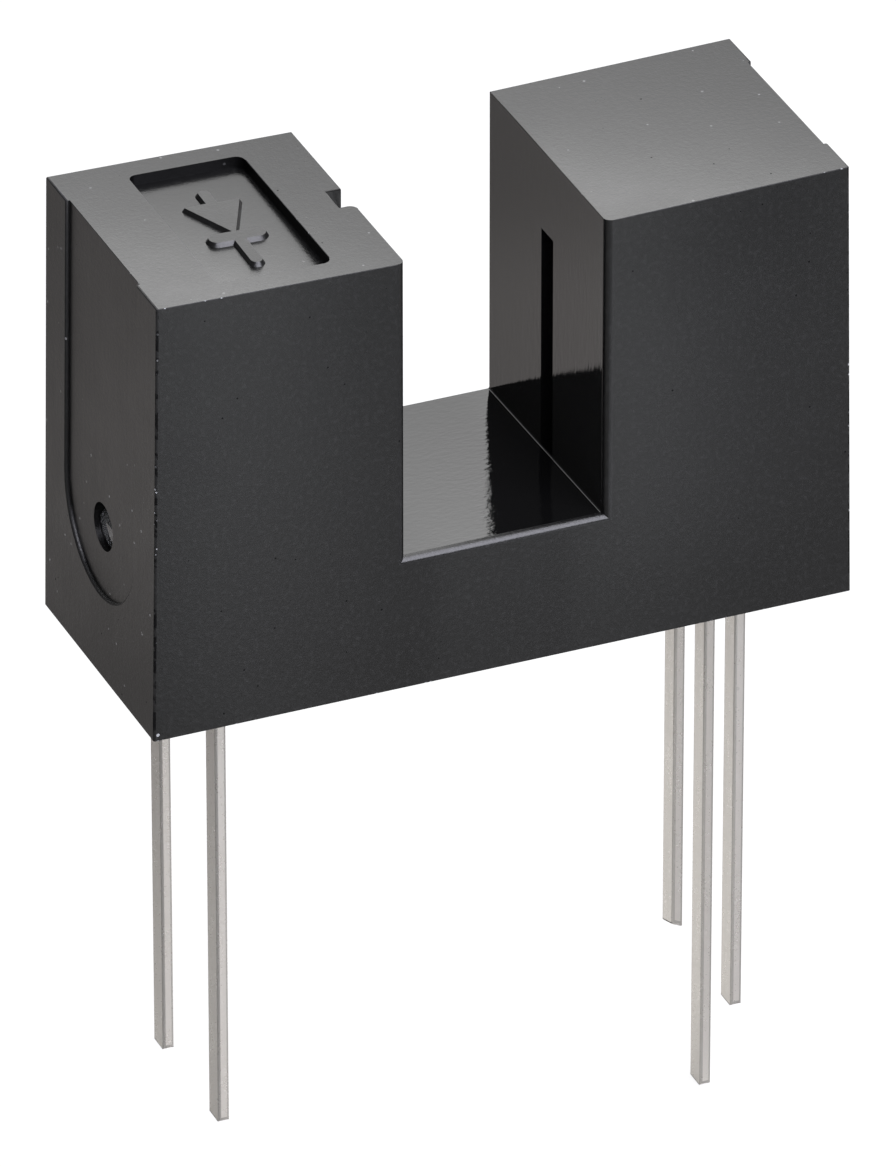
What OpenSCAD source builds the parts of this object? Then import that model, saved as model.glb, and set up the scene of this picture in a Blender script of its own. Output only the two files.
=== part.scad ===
// Slotted optical switch. One tower of the black U-shaped housing holds an infrared emitter,
// the other a photo-IC detector, and they face each other across the slot.
// The origin is the middle of the face that sits on the circuit board. +X runs along the optical
// axis from emitter to detector, +Z is up, and the leads reach below the board. Millimetres.

/* [Housing] */
// Length of the housing along the optical axis, at the board
body_w = 12.7; // [11:0.1:15]
// Draft of the housing's two ends, in degrees
end_draft = 1; // [0:0.1:2]
// Depth of the housing from front to back
body_d = 4.9; // [4.4:0.1:7]
// Height of the towers above the board, at their outer edges
body_h = 8.2; // [7:0.1:10]
// Fall of the tower tops towards the slot, in degrees
top_fall = 1.1; // [0:0.1:2]
// Width of the slot between the towers
slot_w = 3.6; // [3:0.1:4.4]
// Height of the slot's floor above the board, at the front
slot_floor = 2.5; // [1.5:0.05:3.5]
// Fall of the slot's floor towards the back, in degrees
floor_fall = 1.3; // [0:0.1:2]
// Rounding of the slot's front edges
slot_round = 0.14; // [0.05:0.01:0.3]
// Rounding where the slot's floor meets its walls
slot_fillet = 0.03; // [0.02:0.01:0.3]

/* [Recesses] */
// Width of the round-ended recess on each outer face
side_recess_w = 3.1; // [2:0.1:4]
// Height of the lowest point of that recess above the board
side_recess_z = 1.55; // [0.8:0.05:2]
// Depth of that recess
side_recess_t = 0.07; // [0.03:0.01:0.25]
// Width of the recess in the emitter tower's top
top_recess_w = 2.05; // [1:0.05:2.6]
// Length of that recess from front to back
top_recess_l = 3.95; // [2:0.05:4.2]
// Depth of that recess
top_recess_t = 0.2; // [0.1:0.05:0.6]
// Corner radius of that recess
top_recess_r = 0.15; // [0.05:0.01:0.4]
// Distance from the slot to that recess
top_recess_gap = 1.1; // [0.5:0.05:1.6]

/* [Optics] */
// Depth of the optical axis below the tower tops
optical_drop = 2.6; // [2.4:0.05:3]
// Width of the detector's slit
slit_w = 0.5; // [0.3:0.05:1]
// Depth of the top of both light openings below the tower tops
slit_drop = 1.58; // [1.4:0.02:2]
// Width of the groove in the emitter's slot wall
groove_w = 0.6; // [0.3:0.05:1]
// Depth of that groove
groove_t = 0.28; // [0.1:0.01:0.4]
// Rounding of that groove's front edge
groove_round = 0.15; // [0.05:0.01:0.3]
// Gap between each lens and the wall of the slot
lens_gap = 0.56; // [0.1:0.02:0.8]

/* [Element packages] */
// Width of each resin block from front to back
block_d = 3.6; // [3.3:0.1:3.8]
// Resin between the leads' middle plane and the lens face
block_lens_side = 0.95; // [0.8:0.05:1.1]
// Resin between the leads' middle plane and the outer face
block_outer_side = 0.85; // [0.7:0.05:0.9]
// Height of the blocks' lower end above the board
block_z = 0.5; // [0.2:0.05:1]
// Bevel along the blocks' upright edges
block_bevel = 0.2; // [0.05:0.05:0.4]
// Play between a block and its cavity
block_play = 0.05; // [0.02:0.01:0.1]
// Thickness of the housing above the blocks
roof_t = 1.3; // [1:0.05:1.4]
// Thickness of the housing's outer walls beside the blocks
outer_wall = 0.55; // [0.35:0.05:1]
// Diameter of the lens where it leaves the block
lens_d = 2; // [1.4:0.1:2.2]
// Radius of the lens surface
lens_r = 1.1; // [1.1:0.05:2]
// Diameter of the latch hole in each outer wall
latch_d = 0.85; // [0.6:0.05:1.2]
// Height of the latch holes above the board
latch_z = 2.8; // [2.2:0.05:3.5]
// Play around a latch nub
latch_play = 0.05; // [0.02:0.01:0.1]
// Depth of a nub's end below the floor of the side recess
nub_inset = 0.1; // [0.05:0.01:0.2]
// Slope of a nub's upper half, in degrees
nub_slope = 30; // [15:1:40]

/* [Leads] */
// Pitch of the detector's leads, half of the emitter's
lead_pitch = 1.25; // [1.1:0.05:1.4]
// Width of a lead from front to back
lead_w = 0.45; // [0.3:0.05:0.6]
// Thickness of a lead
lead_t = 0.2; // [0.1:0.05:0.3]
// Length of the outer leads below the board
lead_l = 8.45; // [4:0.05:12]
// Length of the detector's middle lead below the board
middle_lead_l = 10.8; // [4:0.05:14]
// Bevel at the lead tips
tip_bevel = 0.06; // [0.02:0.01:0.15]

/* [Chips] */
// Side of the square die pads
pad_s = 1.5; // [1.2:0.1:1.5]
// Gap between a die pad and the lead below it
frame_gap = 0.25; // [0.15:0.05:0.4]
// Height of the bars that join the die pads to their leads
arm_h = 0.6; // [0.3:0.1:1]
// Reach of the leads above the optical axis
post_h = 0.4; // [0.2:0.05:0.7]
// Side of the emitter chip
led_s = 0.3; // [0.2:0.05:0.6]
// Side of the detector chip
ic_s = 1.1; // [0.8:0.05:1.15]
// Thickness of both chips
chip_t = 0.2; // [0.1:0.05:0.3]
// Diameter of the bond wires
wire_d = 0.05; // [0.03:0.01:0.08]
// Distance of a bond from the edge of its chip or lead
bond_inset = 0.12; // [0.06:0.01:0.14]

/* [Hidden] */
$fn = 64;
// Reach of a cut past the face that it opens
over = 1;

optical_z = body_h - optical_drop;
slit_top = body_h - slit_drop;
cavity_top = body_h - roof_t;
// Where the light openings leave the slot's walls, above the rounded corner of its floor
sill_z = slot_floor + slot_fillet;
// Half of the housing's length at the tower tops, where its outer walls are thinnest
top_x = body_w / 2 - body_h * tan(end_draft);
block_x1 = top_x - outer_wall - block_play;
lead_x = block_x1 - block_outer_side;
block_x0 = lead_x - block_lens_side;
// Distance from the lens face back to the centre of the lens surface
lens_sink = sqrt(lens_r * lens_r - lens_d * lens_d / 4);
channel_x = block_x0 - lens_r + lens_sink - lens_gap;
// Where the axis of a latch hole meets the floor of the side recess
recess_floor_x = body_w / 2 - latch_z * tan(end_draft) - side_recess_t / cos(end_draft);
chip_face_x = lead_x - lead_t / 2;
bond_x = chip_face_x - chip_t;
lead_edge_y = lead_pitch - lead_w / 2;
bond_y = lead_edge_y + bond_inset;
ic_bond = ic_s / 2 - bond_inset;
middle_top = optical_z - pad_s / 2 - frame_gap;

housing_black = [0.13, 0.13, 0.13];
clear_resin = [0.8, 0.84, 0.88, 0.45];
tin_plate = [0.78, 0.77, 0.74];
chip_grey = [0.36, 0.37, 0.42];
bond_gold = [0.9, 0.74, 0.32];

// Everything inside a tower is drawn for the detector at +X, and mirrored for the emitter
module emitter_side() {
    mirror([1, 0, 0])
        children();
}

module both_sides() {
    children();
    emitter_side()
        children();
}

// Leans its children with the drafted end of the housing, which rises from their origin
module on_end() {
    translate([body_w / 2, 0, 0])
        rotate([0, -end_draft, 0])
            children();
}

// Leans its children with the top of a tower, which falls from their origin towards the slot
module on_top() {
    translate([top_x, 0, body_h])
        rotate([0, -top_fall, 0])
            children();
}

// Stands a flat outline, drawn with front-to-back and height as its axes, up across the X axis
module across_x(length) {
    rotate([90, 0, 90])
        linear_extrude(length)
            children();
}

// The corner that rounding takes off an edge, with the edge at the origin
module rounding_waste(radius) {
    difference() {
        square(radius);
        translate([radius, radius])
            circle(radius);
    }
}

module rounded_rectangle(width, length, radius) {
    square([width - 2 * radius, length], center = true);
    square([width, length - 2 * radius], center = true);
    for (x = [-1, 1], y = [-1, 1])
        translate([x * (width / 2 - radius), y * (length / 2 - radius)])
            circle(radius);
}

// The slot from above, flared by the rounding of its upright front edges
module slot_plan() {
    square([slot_w, body_d + 2 * over], center = true);
    both_sides()
        translate([slot_w / 2, -body_d / 2])
            rounding_waste(slot_round);
}

// The slot from the side, flared by the rounding of its floor's front edge
module slot_side() {
    translate([-body_d / 2, slot_floor])
        rotate(-floor_fall) {
            translate([-over, 0])
                square([body_d + 3 * over, body_h]);
            mirror([0, 1])
                rounding_waste(slot_round);
        }
}

module slot() {
    difference() {
        intersection() {
            linear_extrude(body_h + over)
                slot_plan();
            translate([-body_w / 2, 0, 0])
                across_x(body_w)
                    slot_side();
        }
        both_sides()
            slot_corner_fillet();
    }
}

// Plastic left in the corner between the slot's floor and a wall
module slot_corner_fillet() {
    translate([slot_w / 2, -body_d / 2, slot_floor])
        rotate([-floor_fall, 0, 0])
            translate([0, body_d + over, 0])
                rotate([90, 0, 0])
                    linear_extrude(body_d + over - slot_round)
                        mirror([1, 0])
                            rounding_waste(slot_fillet);
}

// What the draft takes off an end
module end_waste() {
    on_end()
        translate([0, -body_d / 2 - over, -over])
            cube([over, body_d + 2 * over, body_h + 2 * over]);
}

// What the fall of its top takes off a tower
module top_waste() {
    on_top()
        translate([-top_x, -body_d / 2 - over, 0])
            cube([top_x + over, body_d + 2 * over, over]);
}

// Round-ended recess in an outer face, open at the top
module side_recess() {
    radius = side_recess_w / 2;
    on_end()
        translate([-side_recess_t, 0, 0])
            across_x(side_recess_t + over) {
                translate([0, side_recess_z + radius])
                    circle(radius);
                translate([-radius, side_recess_z + radius])
                    square([side_recess_w, body_h + over]);
            }
}

module latch_hole() {
    translate([block_x1, 0, latch_z])
        rotate([0, 90, 0])
            cylinder(d = latch_d, h = body_w / 2);
}

module top_recess() {
    middle_x = slot_w / 2 + top_recess_gap + top_recess_w / 2;
    on_top()
        translate([middle_x - top_x, 0, -top_recess_t])
            linear_extrude(top_recess_t + over)
                rounded_rectangle(top_recess_w, top_recess_l, top_recess_r);
}

// Space for a block, with a channel that lets its lens slide in from below
module cavity() {
    width = block_d + 2 * block_play;
    channel_d = lens_d + 2 * block_play;
    translate([block_x0 - block_play, -width / 2, -over])
        cube([block_x1 - block_x0 + 2 * block_play, width, cavity_top + over]);
    translate([channel_x, -channel_d / 2, -over])
        cube([lead_x - channel_x, channel_d, cavity_top + over]);
}

// A rib of the cavity's core leaves the light opening, from the board up through the slot wall
module light_opening(width, wall_x) {
    translate([wall_x, -width / 2, -over])
        cube([lead_x - wall_x, width, slit_top + over]);
    translate([0, -width / 2, sill_z])
        cube([lead_x, width, slit_top - sill_z]);
}

module detector_slit() {
    light_opening(slit_w, slot_w / 2);
}

// The groove from above, with its rounded front edge
module groove_plan() {
    translate([0, -groove_w / 2])
        square([slot_w / 2 + groove_t, groove_w]);
    translate([slot_w / 2, -groove_w / 2])
        mirror([0, 1])
            rounding_waste(groove_round);
}

// The emitter's opening lies in a groove that runs up to the tower's top
module emitter_groove() {
    light_opening(groove_w, slot_w / 2 + groove_t);
    translate([0, 0, sill_z])
        linear_extrude(body_h)
            groove_plan();
}

module housing() {
    color(housing_black)
        difference() {
            translate([-body_w / 2, -body_d / 2, 0])
                cube([body_w, body_d, body_h]);
            slot();
            both_sides() {
                end_waste();
                top_waste();
                side_recess();
                latch_hole();
                cavity();
            }
            detector_slit();
            emitter_side() {
                emitter_groove();
                top_recess();
            }
        }
}

module resin_block() {
    length = block_x1 - block_x0;
    cut = block_bevel * sqrt(2);
    difference() {
        translate([block_x0, -block_d / 2, block_z])
            cube([length, block_d, cavity_top - block_z]);
        for (x = [block_x0, block_x1], y = [-1, 1])
            translate([x, y * block_d / 2, block_z - over])
                rotate([0, 0, 45])
                    translate([-cut / 2, -cut / 2, 0])
                        cube([cut, cut, cavity_top + 2 * over]);
    }
}

// Spherical cap on the block's lens face
module lens() {
    translate([block_x0, 0, optical_z])
        intersection() {
            translate([lens_sink, 0, 0])
                sphere(lens_r);
            translate([-lens_r, -lens_d / 2 - over, -lens_d / 2 - over])
                cube([lens_r + block_bevel, lens_d + 2 * over, lens_d + 2 * over]);
        }
}

// Snaps into the latch hole. Its upper half slopes, so that it passes the wall on the way in
module latch_nub() {
    diameter = latch_d - 2 * latch_play;
    reach = recess_floor_x - nub_inset - block_x1;
    translate([block_x1, 0, latch_z])
        difference() {
            translate([-block_bevel, 0, 0])
                rotate([0, 90, 0])
                    cylinder(d = diameter, h = reach + block_bevel);
            translate([reach, -diameter, 0])
                rotate([0, -nub_slope, 0])
                    cube([diameter, 2 * diameter, 2 * diameter]);
        }
}

module resin_body() {
    resin_block();
    lens();
    latch_nub();
}

// Outline of a straight lead with a bevelled tip
module lead_outline(y, length, top) {
    half = lead_w / 2;
    translate([y, 0])
        polygon([
            [-half, top], [-half, tip_bevel - length], [tip_bevel - half, -length],
            [half - tip_bevel, -length], [half, tip_bevel - length], [half, top]
        ]);
}

module stamped() {
    translate([chip_face_x, 0, 0])
        across_x(lead_t)
            children();
}

// The front lead of each element carries the die pad
module pad_lead() {
    stamped() {
        lead_outline(-lead_pitch, lead_l, optical_z + post_h);
        translate([-lead_pitch, optical_z - arm_h / 2])
            square([lead_pitch, arm_h]);
        translate([0, optical_z])
            square(pad_s, center = true);
    }
}

// The back lead of each element ends beside the die pad
module post_lead() {
    stamped()
        lead_outline(lead_pitch, lead_l, optical_z + post_h);
}

module middle_lead() {
    stamped()
        lead_outline(0, middle_lead_l, middle_top);
}

module chip(side) {
    translate([bond_x, -side / 2, optical_z - side / 2])
        cube([chip_t, side, side]);
}

// Loops from a chip's face in the direction given by turn, and lands one chip thickness lower
module bond_wire(turn, start, span) {
    translate([bond_x, 0, optical_z])
        rotate([turn, 0, 0])
            translate([0, 0, start + span / 2])
                rotate([0, -90, 0]) {
                    rotate([90, 0, 0])
                        rotate_extrude(angle = 180)
                            translate([span / 2, 0])
                                circle(d = wire_d);
                    translate([span / 2, 0, -chip_t])
                        cylinder(d = wire_d, h = chip_t);
                }
}

to_back = -90;
to_front = 90;
downwards = 180;

module emitter_wire() {
    bond_wire(to_back, 0, bond_y);
}

module detector_wire_to(turn) {
    bond_wire(turn, ic_bond, bond_y - ic_bond);
}

module detector_wire_down() {
    bond_wire(downwards, ic_bond, optical_z - middle_top + bond_inset - ic_bond);
}

module emitter_package() {
    color(clear_resin)
        emitter_side()
            difference() {
                resin_body();
                pad_lead();
                post_lead();
                chip(led_s);
                emitter_wire();
            }
}

module cathode_lead() {
    color(tin_plate)
        emitter_side()
            pad_lead();
}

module anode_lead() {
    color(tin_plate)
        emitter_side()
            post_lead();
}

module led_chip() {
    color(chip_grey)
        emitter_side()
            chip(led_s);
}

module anode_bond_wire() {
    color(bond_gold)
        emitter_side()
            emitter_wire();
}

module detector_package() {
    color(clear_resin)
        difference() {
            resin_body();
            pad_lead();
            middle_lead();
            post_lead();
            chip(ic_s);
            detector_wire_to(to_front);
            detector_wire_to(to_back);
            detector_wire_down();
        }
}

module ground_lead() {
    color(tin_plate)
        pad_lead();
}

module output_lead() {
    color(tin_plate)
        middle_lead();
}

module supply_lead() {
    color(tin_plate)
        post_lead();
}

module photo_ic_chip() {
    color(chip_grey)
        chip(ic_s);
}

module ground_bond_wire() {
    color(bond_gold)
        detector_wire_to(to_front);
}

module output_bond_wire() {
    color(bond_gold)
        detector_wire_down();
}

module supply_bond_wire() {
    color(bond_gold)
        detector_wire_to(to_back);
}

housing();
emitter_package();
cathode_lead();
anode_lead();
led_chip();
anode_bond_wire();
detector_package();
ground_lead();
output_lead();
supply_lead();
photo_ic_chip();
ground_bond_wire();
output_bond_wire();
supply_bond_wire();
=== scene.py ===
import math

import bmesh
import bpy
from bpy.props import FloatProperty, FloatVectorProperty, PointerProperty
from bpy.types import Operator, Panel, PropertyGroup
from mathutils import Matrix, Vector


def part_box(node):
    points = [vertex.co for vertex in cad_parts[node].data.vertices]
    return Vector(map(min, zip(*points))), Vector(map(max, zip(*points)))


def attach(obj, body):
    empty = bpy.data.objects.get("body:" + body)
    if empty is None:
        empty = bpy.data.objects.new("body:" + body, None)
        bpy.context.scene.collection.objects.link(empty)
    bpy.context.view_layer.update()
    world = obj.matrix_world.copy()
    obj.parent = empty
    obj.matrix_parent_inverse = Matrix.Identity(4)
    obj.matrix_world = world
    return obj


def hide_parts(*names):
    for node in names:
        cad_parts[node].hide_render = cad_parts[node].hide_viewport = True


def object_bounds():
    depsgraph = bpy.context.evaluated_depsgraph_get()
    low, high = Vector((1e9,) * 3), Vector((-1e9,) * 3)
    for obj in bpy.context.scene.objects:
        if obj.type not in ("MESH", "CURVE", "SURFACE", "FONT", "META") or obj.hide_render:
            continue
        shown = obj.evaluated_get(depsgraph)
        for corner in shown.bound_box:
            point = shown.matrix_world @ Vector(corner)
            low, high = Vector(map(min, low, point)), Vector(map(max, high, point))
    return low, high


bl_info = {
    "name": "Slotted Optical Switch",
    "version": (1, 0, 0),
    "blender": (4, 5, 0),
    "location": "View3D > Sidebar > Optical Switch",
    "description": "Dresses a slotted optical switch and lights it on a studio floor",
    "category": "Object",
}

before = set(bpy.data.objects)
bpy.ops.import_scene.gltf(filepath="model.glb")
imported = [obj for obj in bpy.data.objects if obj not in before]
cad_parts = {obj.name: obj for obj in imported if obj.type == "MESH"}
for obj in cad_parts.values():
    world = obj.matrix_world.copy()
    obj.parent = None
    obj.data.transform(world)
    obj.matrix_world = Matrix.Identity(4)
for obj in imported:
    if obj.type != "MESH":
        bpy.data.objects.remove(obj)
CAD_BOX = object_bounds()
MM = 0.001

LEADS = ("cathode_lead", "anode_lead", "ground_lead", "output_lead", "supply_lead")
PACKAGES = ("emitter_package", "detector_package")
CHIPS = ("led_chip", "photo_ic_chip")
WIRES = ("anode_bond_wire", "ground_bond_wire", "output_bond_wire", "supply_bond_wire")


def housing_points():
    """The corners of the moulding, in millimetres."""
    return [v.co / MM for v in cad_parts["housing"].data.vertices]


HOUSING_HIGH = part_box("housing")[1] / MM


def measure_slot():
    """Half the slot's width and the lowest point of its floor's rounded front edge, in millimetres."""
    points = housing_points()
    half = min(abs(p.x) for p in points if p.z > HOUSING_HIGH.z - 0.3)
    lip = min(p.z for p in points if abs(p.x) < half - 0.01)
    return half, lip


SLOT_HALF, SLOT_LIP = measure_slot()


def measure_recess():
    """Middle of the floor of the recess in the emitter tower's top, in millimetres, and its slope."""
    inner = [
        p for p in housing_points()
        if p.x < -SLOT_HALF - 0.6 and p.z > HOUSING_HIGH.z - 0.6 and abs(p.y) < HOUSING_HIGH.y - 0.3]
    inner = [p for p in inner if p.x > 0.4 - HOUSING_HIGH.x]
    left = min(inner, key=lambda p: (round(p.x, 2), p.z))
    right = min(inner, key=lambda p: (-round(p.x, 2), p.z))
    middle = (left + right) / 2
    return Vector((middle.x, 0, middle.z)), (right.z - left.z) / (right.x - left.x)


RECESS, RECESS_SLOPE = measure_recess()
# Middle of a tower, measured along X
TOWER_X = (SLOT_HALF + HOUSING_HIGH.x) / 2
# Nicked spot in the front's lower left corner, in millimetres, painted pale as a glint
NICK_GLINT = Vector((0.08 - HOUSING_HIGH.x, -HOUSING_HIGH.y, 0.12))
NICK_GLINT_RADIUS = 0.03
# How hollow the moulding's faces are, against the tower tops. Below zero a face bulges
TOP_HOLLOW = 1
SLOT_HOLLOW = 0.4
END_HOLLOW = 0.22
FRONT_HOLLOW = -1.5


class HousingSettings(PropertyGroup):
    """The black moulding"""
    plastic: FloatVectorProperty(
        name="Plastic", description="Colour of the black moulding", subtype="COLOR",
        size=3, min=0, max=1, default=(0.0025, 0.0025, 0.0026))
    # The dust colour also tints the painted sheen on the right tower's front
    dust: FloatVectorProperty(
        name="Dust", description="Colour of the specks on the moulding", subtype="COLOR",
        size=3, min=0, max=1, default=(0.14, 0.142, 0.142))
    # This pale colour along the edges is partly a painted highlight that stands in for glints
    nick_and_glint: FloatVectorProperty(
        name="Nicks", description="Colour of the nicks along the edges", subtype="COLOR",
        size=3, min=0, max=1, default=(0.19, 0.195, 0.2))
    hollow: FloatProperty(
        name="Hollow", min=0, max=0.1, default=0.02,
        description="Rise of the tower tops 1 mm from their middle, in mm; other faces take a share")
    lean: FloatProperty(
        name="Lean", description="Fall of the slot's floor towards the detector, in mm per mm",
        min=0, max=0.1, default=0.019)
    twist: FloatProperty(
        name="Twist", description="Twist of the tower tops, which grows from their back edge to the front",
        min=0, max=0.1, default=0.0036)
    matte: FloatProperty(
        name="Outer roughness", description="Roughness of the outer faces", subtype="FACTOR",
        min=0, max=1, default=0.32)
    polish: FloatProperty(
        name="Slot roughness", description="Roughness of the slot's polished faces", subtype="FACTOR",
        min=0, max=1, default=0.03)
    edge: FloatProperty(
        name="Edge break", unit="LENGTH", min=0, default=0.04 * MM,
        description="Width of the break along the front's upright outer edges, twice that of most others")


class SymbolSettings(PropertyGroup):
    """The raised diode symbol in the emitter tower's top"""
    height: FloatProperty(
        name="Height", description="Height above the floor of the recess", unit="LENGTH",
        min=0, default=0.075 * MM)
    slope: FloatProperty(
        name="Slope", description="How far the walls lean out towards their feet", unit="LENGTH",
        min=0, default=0.05 * MM)
    stroke: FloatProperty(
        name="Stroke width", description="Width of the two connecting strokes", unit="LENGTH",
        min=0, default=0.2 * MM)
    bar_width: FloatProperty(
        name="Bar width", description="Width of the bar", unit="LENGTH", min=0, default=0.295 * MM)
    bar_length: FloatProperty(
        name="Bar length", description="Length of the bar", unit="LENGTH", min=0, default=1.0 * MM)
    base: FloatProperty(
        name="Triangle base", description="Width of the triangle", unit="LENGTH", min=0, default=1.0 * MM)
    offset: FloatProperty(
        name="Offset", description="Shift of the symbol from the middle of its recess", unit="LENGTH",
        default=0.01 * MM)
    turn: FloatProperty(
        name="Turn", description="Turn of the symbol in its recess", subtype="ANGLE",
        default=math.radians(-1.2))


class LeadSettings(PropertyGroup):
    """The tinned leads"""
    tin: FloatVectorProperty(
        name="Tin", description="Colour of the tin plate", subtype="COLOR",
        size=3, min=0, max=1, default=(0.80, 0.77, 0.73))
    # This colour partly paints shade along the stamped edges
    tarnish_and_edge_shade: FloatVectorProperty(
        name="Tarnish", description="Colour of the plate along the stamped edges", subtype="COLOR",
        size=3, min=0, max=1, default=(0.52, 0.505, 0.485))
    roughness: FloatProperty(
        name="Roughness", description="Roughness of the plate", subtype="FACTOR", min=0, max=1, default=0.3)
    edge: FloatProperty(
        name="Edge round", description="Rounding of the stamped edges", unit="LENGTH",
        min=0, default=0.045 * MM)


class PackageSettings(PropertyGroup):
    """The clear packages with their chips and wires"""
    resin: FloatVectorProperty(
        name="Resin", description="Colour of the clear resin", subtype="COLOR",
        size=3, min=0, max=1, default=(0.78, 0.80, 0.82))
    silicon: FloatVectorProperty(
        name="Silicon", description="Colour of the chips", subtype="COLOR",
        size=3, min=0, max=1, default=(0.16, 0.17, 0.21))
    gold: FloatVectorProperty(
        name="Gold", description="Colour of the bond wires", subtype="COLOR",
        size=3, min=0, max=1, default=(0.83, 0.60, 0.22))


class StageSettings(PropertyGroup):
    """Floor, lights and camera"""
    floor: FloatVectorProperty(
        name="Floor", description="Colour of the floor", subtype="COLOR",
        size=3, min=0, max=1, default=(0.8, 0.8, 0.8))
    before: FloatVectorProperty(
        name="Before", description="The floor's tone in reflections, well in front", subtype="COLOR",
        size=3, min=0, max=1, default=(0.96, 0.98, 1.0))
    beside: FloatVectorProperty(
        name="Beside", description="The floor's tone in reflections, around the object", subtype="COLOR",
        size=3, min=0, max=1, default=(0.565, 0.552, 0.535))
    behind: FloatVectorProperty(
        name="Behind", description="The floor's tone in reflections, behind the object", subtype="COLOR",
        size=3, min=0, max=1, default=(0.35, 0.332, 0.325))
    mirrored: FloatProperty(
        name="Mirrored floor", description="Strength of the floor in reflections", min=0, default=1.32)
    whiteness: FloatProperty(
        name="Whiteness", subtype="FACTOR", min=0, max=1, default=0.9,
        description="Share of plain white in the floor that the camera sees; the rest has shadows")
    ambient: FloatProperty(
        name="Ambient", description="Strength of the light from all round", min=0, default=0.15)
    back_power: FloatProperty(
        name="Back light", description="Power of the softbox behind", unit="POWER", min=0, default=1.56)
    key_power: FloatProperty(
        name="Key light", description="Power of the softbox that reaches from the front to the zenith",
        unit="POWER", min=0, default=5.0)
    top_power: FloatProperty(
        name="Top light", description="Power of the softbox at the zenith", unit="POWER", min=0, default=0.8)
    side_power: FloatProperty(
        name="Side light", description="Power of the softbox above the left", unit="POWER",
        min=0, default=1.1)


class SwitchSettings(PropertyGroup):
    """All that a user may change"""
    housing: PointerProperty(type=HousingSettings)
    symbol: PointerProperty(type=SymbolSettings)
    leads: PointerProperty(type=LeadSettings)
    packages: PointerProperty(type=PackageSettings)
    stage: PointerProperty(type=StageSettings)


class Wire:
    """A node's output that joins in Python arithmetic. Each operator adds a Math node."""

    def __init__(self, sheet, socket):
        self.sheet = sheet
        self.socket = socket

    def math(self, operation, *values):
        """A Math node on all the given values, among which is this one."""
        return self.sheet.node("ShaderNodeMath", {"operation": operation}, dict(enumerate(values)))

    def __add__(self, other):
        return self.math("ADD", self, other)

    def __sub__(self, other):
        return self.math("SUBTRACT", self, other)

    def __rsub__(self, other):
        return self.math("SUBTRACT", other, self)

    def __mul__(self, other):
        return self.math("MULTIPLY", self, other)

    def __gt__(self, other):
        return self.math("GREATER_THAN", self, other)

    def __lt__(self, other):
        return self.math("LESS_THAN", self, other)

    def __abs__(self):
        return self.math("ABSOLUTE", self)

    def at_least(self, limit):
        return self.math("MAXIMUM", self, limit)

    def eased_above(self, limit, ease):
        """As at_least, but with no crease where the limit takes over."""
        return self.math("SMOOTH_MAX", self, limit, ease)

    __radd__ = __add__
    __rmul__ = __mul__


class Sheet:
    """Adds nodes to one node tree."""

    def __init__(self, tree):
        self.tree = tree

    @staticmethod
    def pick(sockets, key):
        """A socket by its number, its identifier or its name."""
        if isinstance(key, int):
            return sockets[key]
        for socket in sockets:
            if socket.identifier == key:
                return socket
        return sockets[key]

    def node(self, kind, settings=None, sockets=None, output=0):
        """Any node: its settings come first, then the values or links of its sockets."""
        node = self.tree.nodes.new(kind)
        for name, value in (settings or {}).items():
            setattr(node, name, value)
        for key, value in (sockets or {}).items():
            socket = self.pick(node.inputs, key)
            if isinstance(value, Wire):
                self.tree.links.new(value.socket, socket)
            elif socket.type == "RGBA" and len(value) == 3:
                socket.default_value = (*value, 1)
            else:
                socket.default_value = value
        return Wire(self, self.pick(node.outputs, output)) if len(node.outputs) else None

    def place(self):
        """The piece's own coordinates in millimetres."""
        coordinates = self.node("ShaderNodeTexCoord", output="Object")
        return self.node("ShaderNodeVectorMath", {"operation": "SCALE"}, {0: coordinates, "Scale": 1 / MM})

    def split(self, vector):
        """The three values of a vector or a colour."""
        first = self.node("ShaderNodeSeparateXYZ", sockets={0: vector})
        outputs = first.socket.node.outputs
        return tuple(Wire(self, socket) for socket in outputs)

    def gap(self, vector, place):
        """Distance from a fixed place."""
        return self.node("ShaderNodeVectorMath", {"operation": "DISTANCE"}, {0: vector, 1: place}, "Value")

    def stretch(self, vector, scale):
        return self.node("ShaderNodeMapping", sockets={"Vector": vector, "Scale": scale})

    def noise(self, vector, scale, detail=2.0, roughness=0.5):
        return self.node("ShaderNodeTexNoise", sockets={
            "Vector": vector, "Scale": scale, "Detail": detail, "Roughness": roughness}, output="Fac")

    def specks(self, vector, scale, size, share):
        """A mask of round specks: a share of the cells of a Voronoi pattern holds one each."""
        sockets = {"Vector": vector, "Scale": scale}
        near = self.node("ShaderNodeTexVoronoi", sockets=sockets, output="Distance")
        cell = self.node("ShaderNodeTexVoronoi", sockets=sockets, output="Color")
        return (near < size * scale) * (self.split(cell)[0] < share)

    def ramp(self, factor, low, high):
        """Rises smoothly from 0 at low to 1 at high, which may lie either way round."""
        return self.node("ShaderNodeMapRange", {"interpolation_type": "SMOOTHSTEP"}, {
            "Value": factor, "From Min": low, "From Max": high})

    def mix(self, factor, first, second):
        return self.node("ShaderNodeMix", {"data_type": "RGBA"}, {
            "Factor_Float": factor, "A_Color": first, "B_Color": second}, "Result_Color")

    def bump(self, height, strength, distance):
        return self.node("ShaderNodeBump", sockets={
            "Strength": strength, "Distance": distance, "Height": height})

    def attribute(self, name):
        return self.node("ShaderNodeAttribute", {"attribute_name": name}, output="Fac")

    def blend(self, factor, first, second):
        return self.node("ShaderNodeMixShader", sockets={0: factor, 1: first, 2: second})

    def surface(self, shader):
        self.node("ShaderNodeOutputMaterial", sockets={"Surface": shader})

    def cover(self, sockets):
        self.surface(self.node("ShaderNodeBsdfPrincipled", sockets=sockets))


def new_finish(name):
    """A fresh material and the sheet that its nodes go on."""
    material = bpy.data.materials.new(name)
    material.use_nodes = True
    material.node_tree.nodes.clear()
    return material, Sheet(material.node_tree)


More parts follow.
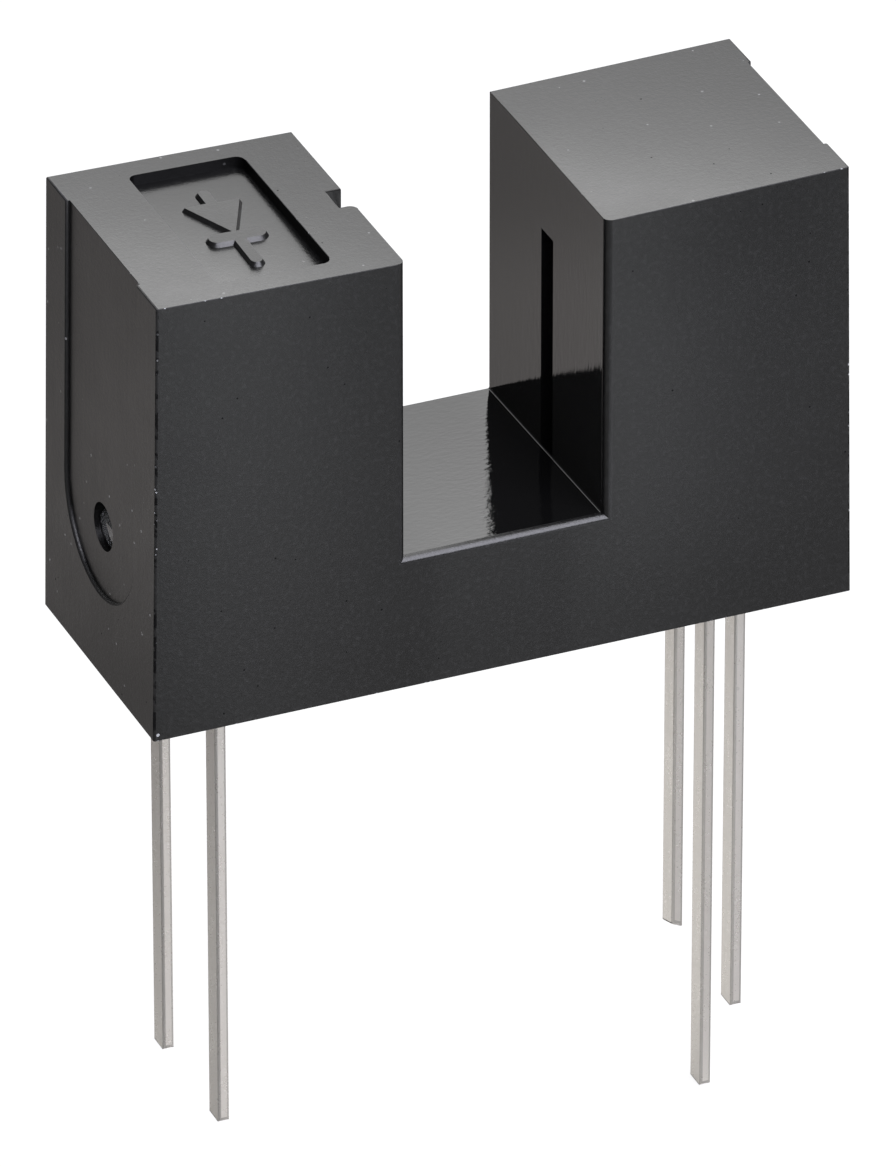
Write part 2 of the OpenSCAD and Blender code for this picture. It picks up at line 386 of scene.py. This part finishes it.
def moulded_plastic(look):
    """Black thermoplastic: eroded, sunk and pitted outside, polished in the slot.

    The faces carry how polished and hollow they are, and where they are glossless with painted shade. Lengths
    are in millimetres.
    """
    material, sheet = new_finish("moulded_plastic")
    point = sheet.place()
    x, y, z = sheet.split(point)
    edge = sheet.attribute("edge")
    polish = sheet.attribute("polish")
    hollow = sheet.attribute("hollow")
    outer = 1 - polish
    in_slot = polish > 0.9
    on_top = hollow > TOP_HOLLOW / 2
    on_front = hollow < FRONT_HOLLOW / 2
    # Patterns: fine grain, mottling, slow clouds, upright streaks, the slot's lines and broken patches
    grain = sheet.noise(point, 30, 3, 0.6)
    mottle = sheet.noise(point, 11, 2)
    cloud = sheet.noise(point, 0.9, 2)
    streaks = sheet.noise(sheet.stretch(point, (12, 12, 0.4)), 1, 2)
    lines = sheet.noise(sheet.stretch(point, (7, 13, 3)), 1, 3)
    broken = sheet.noise(point, 4, 3)
    # Colour: dust that shows most on the ends, a paler middle on the right tower's front that is a painted
    # sheen, and nicked edges painted pale in places as glints
    dust = sheet.specks(point, 2.8, 0.024, 0.6) * outer * (2.3 - abs(hollow - 0.2) * 1.4)
    painted_front_sheen = sheet.ramp(x, 1, 2.6) * sheet.ramp(x, 7.5, 2.5) * sheet.ramp(z, 8, 5) * sheet.ramp(z, 0.3, 3)
    pale = dust * cloud + painted_front_sheen * on_front * 0.018 + (mottle - 0.5).at_least(0) * outer * 0.12
    # Painted highlights in part: pale specks along the front edges and a spot at the lower left corner stand
    # in for glints
    nicks_and_glints = sheet.specks(point, 10, 0.018, 0.7) * edge * (y < 0) + (sheet.gap(point, NICK_GLINT) < NICK_GLINT_RADIUS)
    colour = sheet.mix(nicks_and_glints, sheet.mix(pale, look.plastic, look.dust), look.nick_and_glint)
    # Roughness: the outer faces vary with the patterns, and the broken edges are duller
    roughness = outer * (look.matte - look.polish + (grain - 0.5) * 0.12 + (cloud - 0.5) * 0.1)
    roughness = roughness + look.polish + (streaks - 0.5) * outer * 0.06 + edge * 0.25
    # Shape: faces sink or bulge about their tower's middle, the slot floor leans and the tops twist
    bow = (abs(x) - TOWER_X).eased_above(SLOT_HALF - TOWER_X - 0.5, 0.5)
    reach = HOUSING_HIGH.y - y
    side = 1 - (x > 0) * 2
    shape = (bow * bow + y * y) * hollow * look.hollow - in_slot * x * look.lean
    shape = shape + bow * side * reach * reach * on_top * look.twist
    # Relief: grain outside, lines in the slot and slow waves on both
    waves = sheet.noise(point, 0.35, 1) * (0.001 + outer * 0.006)
    height = (grain + mottle) * (0.0003 + outer * 0.0023) + lines * polish * 0.003 + waves + shape
    plastic = sheet.node("ShaderNodeBsdfPrincipled", sockets={
        "Base Color": colour, "Roughness": roughness, "IOR": 1.5, "Normal": sheet.bump(height, 1.0, MM)})
    # Pits, the recess walls with their painted shade and the dark parts of the front's upright edges have
    # next to no gloss
    pits_and_painted_shade = sheet.specks(point, 3.1, 0.018, 0.4) * outer + sheet.attribute("dull_and_painted_shade")
    pits_and_painted_shade = pits_and_painted_shade + sheet.ramp(broken, 0.52, 0.46) * sheet.attribute("seam")
    cavity = sheet.node("ShaderNodeBsdfDiffuse", sockets={"Color": look.plastic})
    sheet.surface(sheet.blend(pits_and_painted_shade * 0.8, plastic, cavity))
    return material


def tin_plate(look):
    """Satin tin, grainy along the rolling direction and duller and darker on the stamped edges, where the
    darkening is partly painted shade.
    """
    material, sheet = new_finish("tin_plate")
    point = sheet.place()
    edge = sheet.attribute("edge")
    rolled = sheet.noise(sheet.stretch(point, (7, 7, 1.2)), 1, 4, 0.65)
    grain = sheet.noise(point, 22, 3, 0.6)
    stains = sheet.specks(point, 1.7, 0.035, 0.12)
    # Stains, rolling and grain vary the tone at random; the stamped edges are darkened partly as painted
    # shade
    dull_and_painted_shade = edge * (0.75 + rolled * 0.3) + stains * 0.35 + (rolled - 0.5) * 0.35 + (grain - 0.5) * 0.3
    colour = sheet.mix(sheet.ramp(dull_and_painted_shade, -0.3, 1.1), look.tin, look.tarnish_and_edge_shade)
    roughness = look.roughness + (grain - 0.5) * 0.16 + (rolled - 0.5) * 0.14
    normal = sheet.bump(grain + rolled * 0.6, 0.15, 0.008 * MM)
    sheet.cover({"Base Color": colour, "Metallic": 0.9, "Roughness": roughness, "Normal": normal})
    return material


def clear_resin(look):
    """Cast epoxy, slightly wavy."""
    material, sheet = new_finish("clear_resin")
    point = sheet.place()
    waves = sheet.noise(point, 1.4, 2)
    bubbles = sheet.specks(point, 2.2, 0.03, 0.2)
    colour = sheet.mix(bubbles * 0.2 + waves * 0.1, look.resin, (1, 1, 1))
    sheet.cover({
        "Base Color": colour, "Roughness": 0.04 + waves * 0.05, "IOR": 1.54,
        "Transmission Weight": 0.95, "Normal": sheet.bump(waves, 0.1, 0.02 * MM)})
    return material


def chip_silicon(look):
    """Etched silicon with a grid of cells."""
    material, sheet = new_finish("chip_silicon")
    point = sheet.place()
    cells = sheet.node("ShaderNodeTexVoronoi", {"distance": "CHEBYCHEV"}, {
        "Vector": point, "Scale": 9.0, "Randomness": 0.25})
    lines = sheet.ramp(cells, 0.36, 0.42)
    tone = sheet.noise(point, 6, 2)
    colour = sheet.mix(lines * 0.6 + tone * 0.25, look.silicon, (0.42, 0.40, 0.36))
    sheet.cover({"Base Color": colour, "Metallic": 0.35, "Roughness": 0.18 + tone * 0.15, "IOR": 1.9})
    return material


def bond_gold(look):
    """Drawn gold wire."""
    material, sheet = new_finish("bond_gold")
    point = sheet.place()
    drawn = sheet.noise(point, 18, 3)
    colour = sheet.mix((drawn - 0.3) * 0.5, look.gold, (0.95, 0.78, 0.42))
    sheet.cover({"Base Color": colour, "Metallic": 1.0, "Roughness": 0.18 + drawn * 0.2})
    return material


def add_piece(name, mesh, material, slot_name, *nodes):
    """Puts a finished mesh in the scene as a piece that stands for the given CAD nodes."""
    mesh.name = name
    mesh.materials.clear()
    mesh.materials.append(material)
    piece = bpy.data.objects.new(name, mesh)
    bpy.context.scene.collection.objects.link(piece)
    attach(piece, "root")
    if nodes:
        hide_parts(*nodes)
    return piece


def apply_all(worker):
    """The plain mesh that an object's modifiers give, in metres. The object is used up."""
    view = bpy.context.evaluated_depsgraph_get()
    mesh = bpy.data.meshes.new_from_object(worker.evaluated_get(view), depsgraph=view)
    worker.modifiers.clear()
    used = worker.data
    bpy.data.objects.remove(worker)
    bpy.data.meshes.remove(used)
    mesh.transform(Matrix.Scale(MM, 4))
    return mesh


def smooth_by_angle(bm, angle):
    """Shades all faces smooth, with sharp edges where they meet at a larger angle."""
    for face in bm.faces:
        face.smooth = True
    for edge in bm.edges:
        edge.smooth = edge.is_manifold and edge.calc_face_angle(0) < angle


def mark_faces(mesh, name, value):
    """Gives each face of a mesh an attribute, worked out from the face."""
    layer = mesh.attributes.new(name, "FLOAT", "FACE")
    for face in mesh.polygons:
        layer.data[face.index].value = value(face)


def rounded_copy(node, width, segments, share):
    """A welded copy of a CAD node whose sharp edges are rounded by their share of the width.

    An edge is rounded less where a short edge meets it, so that no two roundings run into each other.
    The work is in millimetres, because a bevel's tolerances are too coarse for so small a piece in metres.
    The rounded strips carry the attribute edge. Large faces are plane, so they are shaded flat.
    """
    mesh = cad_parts[node].data.copy()
    mesh.materials.clear()
    mesh.materials.append(None)
    mesh.materials.append(None)
    bm = bmesh.new()
    bm.from_mesh(mesh)
    bmesh.ops.scale(bm, vec=Vector((1, 1, 1)) / MM, verts=bm.verts)
    bmesh.ops.remove_doubles(bm, verts=bm.verts, dist=1e-4)
    bmesh.ops.dissolve_limit(bm, angle_limit=math.radians(0.3), verts=bm.verts, edges=bm.edges)
    smooth_by_angle(bm, math.radians(40))
    weight = bm.edges.layers.float.new("bevel_weight_edge")
    for edge in bm.edges:
        if edge.smooth or not edge.is_convex:
            continue
        around = {other for vertex in edge.verts for other in vertex.link_edges}
        room = 0.8 * min(other.calc_length() for other in around) / width
        if edge.calc_length() > 2 * width and room > 0.1 and share(edge):
            edge[weight] = min(share(edge), room)
            edge.smooth = True
    for face in bm.faces:
        face.material_index = 0
    bm.to_mesh(mesh)
    bm.free()
    worker = bpy.data.objects.new(node + "_work", mesh)
    bpy.context.scene.collection.objects.link(worker)
    bevel = worker.modifiers.new("edges", "BEVEL")
    bevel.limit_method = "WEIGHT"
    bevel.width = width
    bevel.segments = segments
    bevel.material = 1
    bevel.use_clamp_overlap = False
    finished = apply_all(worker)
    mark_faces(finished, "edge", lambda face: face.material_index)
    for face in finished.polygons:
        face.use_smooth = face.material_index == 1 or face.area < 0.2 * MM * MM
        face.material_index = 0
    return finished


class SWITCH_OT_housing(Operator):
    """Breaks the outer edges of the moulding and gives it its plastic"""
    bl_idname = "switch.housing"
    bl_label = "Housing"

    def execute(self, context):
        look = context.scene.optical_switch.housing
        mesh = rounded_copy("housing", look.edge / MM, 2, self.share)
        mark_faces(mesh, "polish", self.polish)
        mark_faces(mesh, "hollow", self.hollow)
        mark_faces(mesh, "dull_and_painted_shade", self.dull_and_painted_shade)
        mark_faces(mesh, "seam", self.seam)
        add_piece("housing_moulding", mesh, moulded_plastic(look), "housing_plastic", "housing")
        return {"FINISHED"}

    @staticmethod
    def share(edge):
        """Full for the front's upright outer edges and the end recesses' rims, half for other outer edges."""
        middle = (edge.verts[0].co + edge.verts[1].co) / 2
        end = abs(middle.x) > HOUSING_HIGH.x - 0.4
        face = abs(middle.y) > HOUSING_HIGH.y - 0.4
        if end and 1 < middle.z < HOUSING_HIGH.z - 1 and middle.y < HOUSING_HIGH.y - 0.1:
            return 1
        return 0.5 if end or face or middle.z > HOUSING_HIGH.z - 0.3 else 0

    @staticmethod
    def polish(face):
        """Full in the slot, less on the floor of the recess in the top."""
        middle = face.center / MM
        if face.normal.z > 0.9 and middle.z > HOUSING_HIGH.z - 1:
            return 0.4 if middle.z < HOUSING_HIGH.z - 0.15 else 0
        across = abs(middle.x) < SLOT_HALF + 0.35 and abs(middle.y) < HOUSING_HIGH.y - 0.15
        return 1 if across and middle.z > SLOT_LIP else 0

    @staticmethod
    def hollow(face):
        """The tower tops are hollow, the slot and the ends less so, and the front and back bulge."""
        middle = face.center / MM
        if face.normal.z > 0.9 and middle.z > HOUSING_HIGH.z - 1:
            return TOP_HOLLOW
        if abs(face.normal.x) > 0.9:
            return END_HOLLOW
        if face.normal.z > 0.9 and middle.z > 1:
            return SLOT_HOLLOW
        return FRONT_HOLLOW if abs(face.normal.y) > 0.9 and abs(middle.y) > HOUSING_HIGH.y - 0.05 else 0

    @staticmethod
    def dull_and_painted_shade(face):
        """The walls of the recess in the top have next to no gloss: painted shade that darkens them."""
        middle = face.center / MM - RECESS
        inside = abs(middle.x) < 1.2 and abs(middle.y) < 2.1 and abs(middle.z) < 0.25
        return 0.95 if inside and face.normal.z < 0.5 else 0

    @staticmethod
    def seam(face):
        """The strips along the front's upright outer edges, which are dark in places."""
        middle = face.center / MM
        outside = abs(middle.x) > HOUSING_HIGH.x - 0.3 and middle.y < 0.1 - HOUSING_HIGH.y
        return 1 if outside and abs(face.normal.x) > 0.2 and face.normal.y < -0.2 else 0


def symbol_tree(material):
    """Strokes with sloping walls: a cone on each corner of a stroke, their hull, and the hulls' union."""
    tree = bpy.data.node_groups.new("diode_symbol", "GeometryNodeTree")
    face = tree.interface
    names = ("Height", "Slope", "Stroke", "Bar Width", "Bar Length", "Base")
    sockets = {}
    for name in names:
        sockets[name] = face.new_socket(name, in_out="INPUT", socket_type="NodeSocketFloat").identifier
    face.new_socket("Geometry", in_out="OUTPUT", socket_type="NodeSocketGeometry")
    sheet = Sheet(tree)
    entry = sheet.node("NodeGroupInput").socket.node
    size = {name: Wire(sheet, entry.outputs[name]) for name in names}

    def at(x, y):
        return sheet.node("ShaderNodeCombineXYZ", sockets={"X": x, "Y": y})

    def stroke(radius, *corners):
        cone = sheet.node("GeometryNodeMeshCone", sockets={
            "Vertices": 20, "Radius Top": radius, "Radius Bottom": radius + size["Slope"],
            "Depth": size["Height"]}, output="Mesh")
        join = sheet.node("GeometryNodeJoinGeometry")
        for corner in corners:
            moved = sheet.node("GeometryNodeTransform", sockets={"Geometry": cone, "Translation": corner})
            tree.links.new(moved.socket, join.socket.node.inputs[0])
        return sheet.node("GeometryNodeConvexHull", sockets={0: join})

    half_stroke = size["Stroke"] * 0.5
    half_bar = size["Bar Width"] * 0.5
    reach = size["Bar Length"] * 0.5 - half_bar
    corner = 0.03
    side = size["Base"] * 0.5 - corner * 1.6
    # Places along the symbol in millimetres, from its middle: ends, bar, the triangle's tip and base
    foot, neck, bar, tip, shoulder, base, head = -1.32, -0.34, -0.343, -0.2, 0.75, 0.81, 1.29
    strokes = (
        stroke(half_stroke, at(0, neck), at(0, half_stroke + foot)),
        stroke(half_bar, at(reach, bar), at(0 - reach, bar)),
        stroke(corner, at(side, base), at(0 - side, base), at(0, tip)),
        stroke(half_stroke, at(0, shoulder), at(0, head - half_stroke)))
    union = sheet.node("GeometryNodeMeshBoolean", {"operation": "UNION", "solver": "EXACT"}, output="Mesh")
    boolean = union.socket.node
    for hull in strokes:
        tree.links.new(hull.socket, boolean.inputs["Mesh 2"])
    whole = sheet.node("GeometryNodeRealizeInstances", sockets={0: union})
    whole = sheet.node("GeometryNodeSetMaterial", sockets={"Geometry": whole, "Material": material})
    sheet.node("NodeGroupOutput", sockets={0: whole})
    return tree, sockets


class SWITCH_OT_symbol(Operator):
    """Raises the diode symbol on the floor of the emitter tower's recess"""
    bl_idname = "switch.symbol"
    bl_label = "Diode symbol"

    def execute(self, context):
        look = context.scene.optical_switch.symbol
        material = bpy.data.materials["moulded_plastic"]
        tree, sockets = symbol_tree(material)
        worker = bpy.data.objects.new("symbol_work", bpy.data.meshes.new("symbol_work"))
        context.scene.collection.objects.link(worker)
        strokes = worker.modifiers.new("strokes", "NODES")
        strokes.node_group = tree
        values = {
            "Height": look.height, "Slope": look.slope, "Stroke": look.stroke,
            "Bar Width": look.bar_width, "Bar Length": look.bar_length, "Base": look.base}
        for name, value in values.items():
            strokes[sockets[name]] = value / MM
        mesh = apply_all(worker)
        if not mesh.polygons:
            raise RuntimeError("The diode symbol came out empty")
        sunk = Vector((0, 0, 0.002))
        place = (RECESS - sunk) * MM + Vector((look.offset, 0, look.offset * RECESS_SLOPE))
        tilt = Matrix.Rotation(-math.atan(RECESS_SLOPE), 4, "Y")
        mesh.transform(Matrix.Translation(place) @ tilt @ Matrix.Rotation(look.turn, 4, "Z"))
        bm = bmesh.new()
        bm.from_mesh(mesh)
        smooth_by_angle(bm, math.radians(30))
        bm.to_mesh(mesh)
        bm.free()
        add_piece("diode_symbol", mesh, material, "housing_plastic")
        return {"FINISHED"}


class SWITCH_OT_leads(Operator):
    """Rounds the stamped edges of the leads and plates them"""
    bl_idname = "switch.leads"
    bl_label = "Leads"

    def execute(self, context):
        look = context.scene.optical_switch.leads
        material = tin_plate(look)
        for node in LEADS:
            mesh = rounded_copy(node, look.edge / MM, 3, lambda edge: 1)
            if node == "supply_lead":
                self.slant_tip(mesh)
            add_piece(node + "_tinned", mesh, material, "tin_plate", node)
        return {"FINISHED"}

    @staticmethod
    def slant_tip(mesh):
        """The back lead of the detector is sheared askew, lowest at its back right corner."""
        low = min(v.co.z for v in mesh.vertices)
        back = max(v.co.y for v in mesh.vertices)
        right = max(v.co.x for v in mesh.vertices)
        tip = 0.2 * MM
        rise_forward, rise_left = 0.33, 0.5
        for vertex in mesh.vertices:
            if vertex.co.z < low + tip:
                vertex.co.z += rise_forward * (back - vertex.co.y) + rise_left * (right - vertex.co.x)


class SWITCH_OT_packages(Operator):
    """Gives the element packages, their chips and their bond wires their finishes"""
    bl_idname = "switch.packages"
    bl_label = "Packages"

    def execute(self, context):
        look = context.scene.optical_switch.packages
        for nodes, material in (
                (PACKAGES, clear_resin(look)), (CHIPS, chip_silicon(look)), (WIRES, bond_gold(look))):
            for node in nodes:
                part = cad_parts[node]
                part.data.materials.clear()
                part.data.materials.append(material)
        return {"FINISHED"}


def studio_floor(look):
    """Matt white. It shows as white and keeps the shadows.

    In reflections it is greyer, with painted shade as if dark cards lay around the object. Places are in
    millimetres.
    """
    material, sheet = new_finish("studio_floor")
    point = sheet.place()
    x, y = sheet.split(point)[:2]
    paths = sheet.node("ShaderNodeLightPath").socket.node.outputs
    camera, glossy, through = (
        Wire(sheet, paths[name]) for name in ("Is Camera Ray", "Is Glossy Ray", "Is Transmission Ray"))
    paper = sheet.noise(point, 0.05, 3)
    colour = sheet.mix(paper * 0.1, look.floor, (0.9, 0.9, 0.9))
    diffuse = sheet.node("ShaderNodeBsdfDiffuse", sockets={"Color": colour})
    # Painted reflection tones: bright well in front, greyer around the object and dimmest behind it
    left = sheet.ramp(x, -3, -8)
    tone = sheet.mix(sheet.ramp(y + left * 4, 22, 11), look.behind, look.beside)
    tone = sheet.mix(sheet.ramp(y, -18, -26), tone, look.before)
    # Painted shade in reflections, as if from cards: along the left, far behind, close in front, a strip
    # farther in front and the far right
    dim = left * sheet.ramp(y, 21, 17) * 0.48 + sheet.ramp(y, 26, 31) * 0.25
    dim = dim + sheet.ramp(y, 4, -2) * sheet.ramp(y, -18, -12) * (0.23 + sheet.ramp(x, 2, 7) * 0.22)
    dim = dim + sheet.ramp(y, -13, -17) * sheet.ramp(y, -25, -19) * 0.55
    dim = dim + sheet.ramp(x, 10, 15) * sheet.ramp(y, -22, -29) * 0.75
    # In front on the left, one even painted shade, as if from a single card, takes the place of the others
    flag = left * sheet.ramp(y + x * 0.5, 2, -4)
    tone = sheet.mix(dim + flag * (0.6 - dim), tone, (0, 0, 0))
    mirrored = sheet.node("ShaderNodeEmission", sockets={"Color": tone, "Strength": look.mirrored})
    white = sheet.node("ShaderNodeEmission", sockets={"Color": (1, 1, 1), "Strength": 1.0})
    seen = sheet.blend(glossy + through, diffuse, mirrored)
    sheet.surface(sheet.blend(camera * look.whiteness, seen, white))
    return material


class SWITCH_OT_stage(Operator):
    """Sets up the floor, the lights, the surroundings and the camera"""
    bl_idname = "switch.stage"
    bl_label = "Stage"

    def execute(self, context):
        look = context.scene.optical_switch.stage
        self.floor(context, look)
        white, cool = (1, 1, 1), (0.9, 0.9, 1)
        # Each softbox has its power, colour, size and place, in metres, and faces the origin
        self.softbox(context, "back_light", look.back_power, white, (0.6, 0.4), (0.18, 0.258, 0.175))
        self.softbox(context, "key_light", look.key_power, cool, (0.25, 0.78), (0.124, -0.292, 0.276))
        self.softbox(context, "top_light", look.top_power, white, (0.3, 0.3), (0.135, 0.08, 0.37))
        self.softbox(context, "side_light", look.side_power, cool, (0.2, 0.31), (-0.069, -0.242, 0.311))
        self.surroundings(context, look)
        self.camera(context)
        return {"FINISHED"}

    @staticmethod
    def floor(context, look):
        """A square at the height of the longest lead's tip."""
        mesh = bpy.data.meshes.new("studio_floor")
        level = CAD_BOX[0].z
        half = 1.2
        corners = [(-half, -half, level), (half, -half, level), (half, half, level), (-half, half, level)]
        mesh.from_pydata(corners, [], [(0, 1, 2, 3)])
        mesh.materials.append(studio_floor(look))
        floor = bpy.data.objects.new("studio_floor", mesh)
        context.scene.collection.objects.link(floor)

    @staticmethod
    def softbox(context, name, power, colour, size, place):
        lamp = bpy.data.lights.new(name, "AREA")
        lamp.shape = "RECTANGLE"
        lamp.size, lamp.size_y = size
        lamp.energy = power
        lamp.color = colour
        softbox = bpy.data.objects.new(name, lamp)
        softbox.location = place
        softbox.rotation_euler = Vector(place).to_track_quat("Z", "Y").to_euler()
        softbox.visible_camera = False
        context.scene.collection.objects.link(softbox)

    @staticmethod
    def surroundings(context, look):
        """Even light from all round, which the camera sees as white."""
        world = bpy.data.worlds.new("studio")
        world.use_nodes = True
        world.node_tree.nodes.clear()
        sheet = Sheet(world.node_tree)
        camera = sheet.node("ShaderNodeLightPath", output="Is Camera Ray")
        light = sheet.node("ShaderNodeBackground", sockets={"Color": (1, 1, 1), "Strength": look.ambient})
        white = sheet.node("ShaderNodeBackground", sockets={"Color": (1, 1, 1), "Strength": 1.0})
        sheet.node("ShaderNodeOutputWorld", sockets={"Surface": sheet.blend(camera, light, white)})
        context.scene.world = world

    @staticmethod
    def camera(context):
        """From the left and above, through a long lens. Its aim and distance are in millimetres."""
        turn, rise = math.radians(-23.009), math.radians(30.419)
        back = Vector((math.sin(turn) * math.cos(rise), -math.cos(turn) * math.cos(rise), math.sin(rise)))
        right = Vector((math.cos(turn), math.sin(turn), 0))
        up = back.cross(right)
        lens = bpy.data.cameras.new("camera")
        lens.sensor_width = 36
        lens.lens = 447.3
        lens.clip_start = 0.01
        lens.clip_end = 10
        camera = bpy.data.objects.new("camera", lens)
        aim = Vector((0, 0, 4.05)) - right * 0.0008 - up * 3.2531
        distance = 242.718
        place = aim + back * distance
        turned = Matrix((right, up, back)).transposed().to_4x4()
        camera.matrix_world = Matrix.Translation(place * MM) @ turned
        context.scene.collection.objects.link(camera)
        context.scene.camera = camera
        context.scene.view_settings.view_transform = "Standard"


class SWITCH_PT_panel(Panel):
    """Lists the steps and their settings"""
    bl_idname = "SWITCH_PT_panel"
    bl_label = "Optical Switch"
    bl_space_type = "VIEW_3D"
    bl_region_type = "UI"
    bl_category = "Optical Switch"

    def draw(self, context):
        settings = context.scene.optical_switch
        for step, group in (
                (SWITCH_OT_housing, settings.housing), (SWITCH_OT_symbol, settings.symbol),
                (SWITCH_OT_leads, settings.leads), (SWITCH_OT_packages, settings.packages),
                (SWITCH_OT_stage, settings.stage)):
            column = self.layout.box().column()
            column.operator(step.bl_idname)
            for name in group.__annotations__:
                column.prop(group, name)


CLASSES = (
    HousingSettings, SymbolSettings, LeadSettings, PackageSettings, StageSettings, SwitchSettings,
    SWITCH_OT_housing, SWITCH_OT_symbol, SWITCH_OT_leads, SWITCH_OT_packages, SWITCH_OT_stage,
    SWITCH_PT_panel)


def register():
    for each in CLASSES:
        bpy.utils.register_class(each)
    bpy.types.Scene.optical_switch = PointerProperty(type=SwitchSettings)


def unregister():
    del bpy.types.Scene.optical_switch
    for each in reversed(CLASSES):
        bpy.utils.unregister_class(each)


def main():
    register()
    bpy.ops.switch.housing()
    bpy.ops.switch.symbol()
    bpy.ops.switch.leads()
    bpy.ops.switch.packages()
    bpy.ops.switch.stage()


if __name__ == "__main__":
    main()
